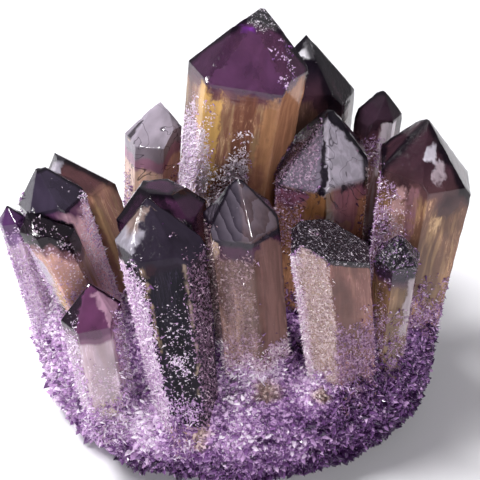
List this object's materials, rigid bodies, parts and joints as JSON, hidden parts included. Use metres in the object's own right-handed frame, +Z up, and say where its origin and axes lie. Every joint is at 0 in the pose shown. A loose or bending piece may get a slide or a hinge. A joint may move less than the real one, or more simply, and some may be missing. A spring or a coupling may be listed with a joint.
{
  "type": "amethyst cluster",
  "caption": "Upright cluster of six-sided smoky purple quartz points with rhombohedral tips, rooted in a round druse of small crystals that is cut off flat below.",
  "frame": {"origin": "centre of the flat cut face that the cluster rests on", "axes": "+Z up along the points, -Y to the front with the dark point, +X to the viewer's right"},
  "size_m": [0.1088, 0.0969, 0.0973],
  "materials": {
    "druse": "sparkling crust of small lilac to deep purple crystals",
    "smoky_quartz": "glossy natural faces, amber brown below and dark purple at the tip, partly see-through",
    "dark_quartz": "glossy, nearly black faces, frosted with fine grains on one side",
    "clear_quartz": "glossy, clear grey tip over an amber and purple body"
  },
  "bodies": {
    "root": {"druse_base": "druse", "tall_twin_crystal": "smoky_quartz", "back_crystal": "smoky_quartz", "back_right_crystal": "smoky_quartz", "right_crystal": "smoky_quartz", "centre_crystal": "smoky_quartz", "dark_twin_crystal": "dark_quartz", "left_triple_crystal": "smoky_quartz", "left_edge_crystal": "smoky_quartz", "low_left_crystal": "smoky_quartz", "front_right_twin_crystal": "smoky_quartz", "back_left_crystal": "clear_quartz", "rear_left_crystal": "smoky_quartz", "rear_crystal": "smoky_quartz", "rear_right_crystal": "smoky_quartz", "rear_low_crystal": "smoky_quartz", "far_left_crystal": "smoky_quartz", "far_right_crystal": "smoky_quartz"}
  },
  "joints": []
}
